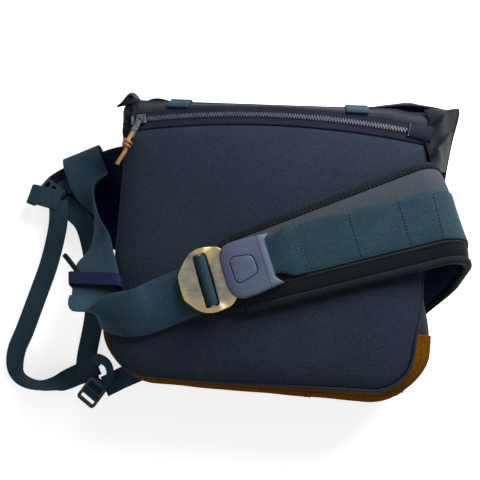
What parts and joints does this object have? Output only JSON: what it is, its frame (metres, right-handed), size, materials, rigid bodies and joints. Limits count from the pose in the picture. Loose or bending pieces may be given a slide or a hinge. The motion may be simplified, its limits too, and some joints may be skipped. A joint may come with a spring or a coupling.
{
  "type": "messenger bag",
  "caption": "Padded messenger bag lying on its flap, with a zipped back pocket, a cross-body shoulder pad with a push-button buckle, and a stabiliser strap.",
  "frame": {"origin": "middle of the flap's outer face, on the surface the bag lies on", "axes": "+Z out of the back panel, +Y towards the bag's top edge, +X to the side where the shoulder pad is sewn on"},
  "size_m": [0.5282, 0.3708, 0.1433],
  "materials": {
    "nylon": "coarse diagonal weave",
    "flap_cloth": "waxed plain weave",
    "lining": "fine plain weave",
    "foam": "closed-cell foam",
    "board": "sheet",
    "leather": "worn, matt",
    "lace": "cut edge",
    "webbing": "ribbed webbing",
    "binding": "ribbed tape",
    "zip_tape": "herringbone tape",
    "zip_metal": "dull",
    "brass": "antique, worn edges",
    "steel": "plain",
    "slate_plastic": "fine texture"
  },
  "bodies": {
    "bag": {"back_panel_cover": "nylon", "back_panel_foam": "foam", "frame_sheet": "board", "sleeve_divider": "lining", "left_gusset": "nylon", "right_gusset": "nylon", "leather_base": "leather", "base_board": "board", "front_panel": "nylon", "closure_loop": "binding", "zip_tape_back": "zip_tape", "zip_tape_top": "zip_tape", "zip_chain": "zip_metal", "zip_garage": "lining", "zip_stop": "zip_metal", "zip_facing": "nylon", "wing_cover": "nylon", "wing_foam": "foam", "wing_lining": "lining", "wing_binding": "binding", "ladder_lock": "slate_plastic", "lock_tab": "webbing", "main_webbing": "webbing", "webbing_keeper": "lining", "stabiliser_inner": "webbing", "stabiliser_outer": "webbing", "tri_glide": "slate_plastic", "corner_tab": "webbing", "stabiliser_tail": "webbing", "lock_loop": "webbing"},
    "flap_body": {"flap": "flap_cloth", "flap_lining": "lining", "flap_tab_left": "webbing", "flap_tab_right": "webbing", "closure_hook": "binding"},
    "slider": {"zip_slider": "zip_metal", "zip_slider_plate": "zip_metal"},
    "pull": {"zip_pull_tab": "zip_metal", "leather_pull": "lace"},
    "strap_pad": {"pad_lining": "lining", "pad_foam": "foam", "pad_cover": "nylon", "pad_binding_low": "binding", "pad_binding_high": "binding", "pad_binding_tip": "binding", "pad_webbing": "webbing", "buckle_base": "slate_plastic", "buckle_housing": "slate_plastic", "latch_spring": "steel", "brass_buckle": "brass", "buckle_bar": "brass", "bar_webbing": "webbing"},
    "button": {"push_button": "slate_plastic", "latch_plate": "steel"}
  },
  "joints": [
    {"name": "flap_open", "type": "hinge", "parent": "bag", "child": "flap_body", "pos_m": [0, 0.168, 0.1], "axis": [1, 0, 0], "range_deg": [0, 120]},
    {"name": "zip_slider_run", "type": "hinge", "parent": "bag", "child": "slider", "pos_m": [-0.006, -0.751, 0.0998], "axis": [0, 0, 1], "range_deg": [-17.6, 0]},
    {"name": "zip_pull_swing", "type": "hinge", "parent": "slider", "child": "pull", "pos_m": [-0.147, 0.13789, 0.1064], "axis": [-0.9613, 0.2756, 0], "range_deg": [0, 80]},
    {"name": "strap_pad_swing", "type": "hinge", "parent": "bag", "child": "strap_pad", "pos_m": [0.1676, 0.045, 0.02], "axis": [0, 1, 0], "range_deg": [0, 35]},
    {"name": "button_press", "type": "slide", "parent": "strap_pad", "child": "button", "axis": [0, 0, -1], "range_m": [0, 0.0022], "stiffness_N_per_m": 900, "deforming": ["latch_spring"]}
  ]
}
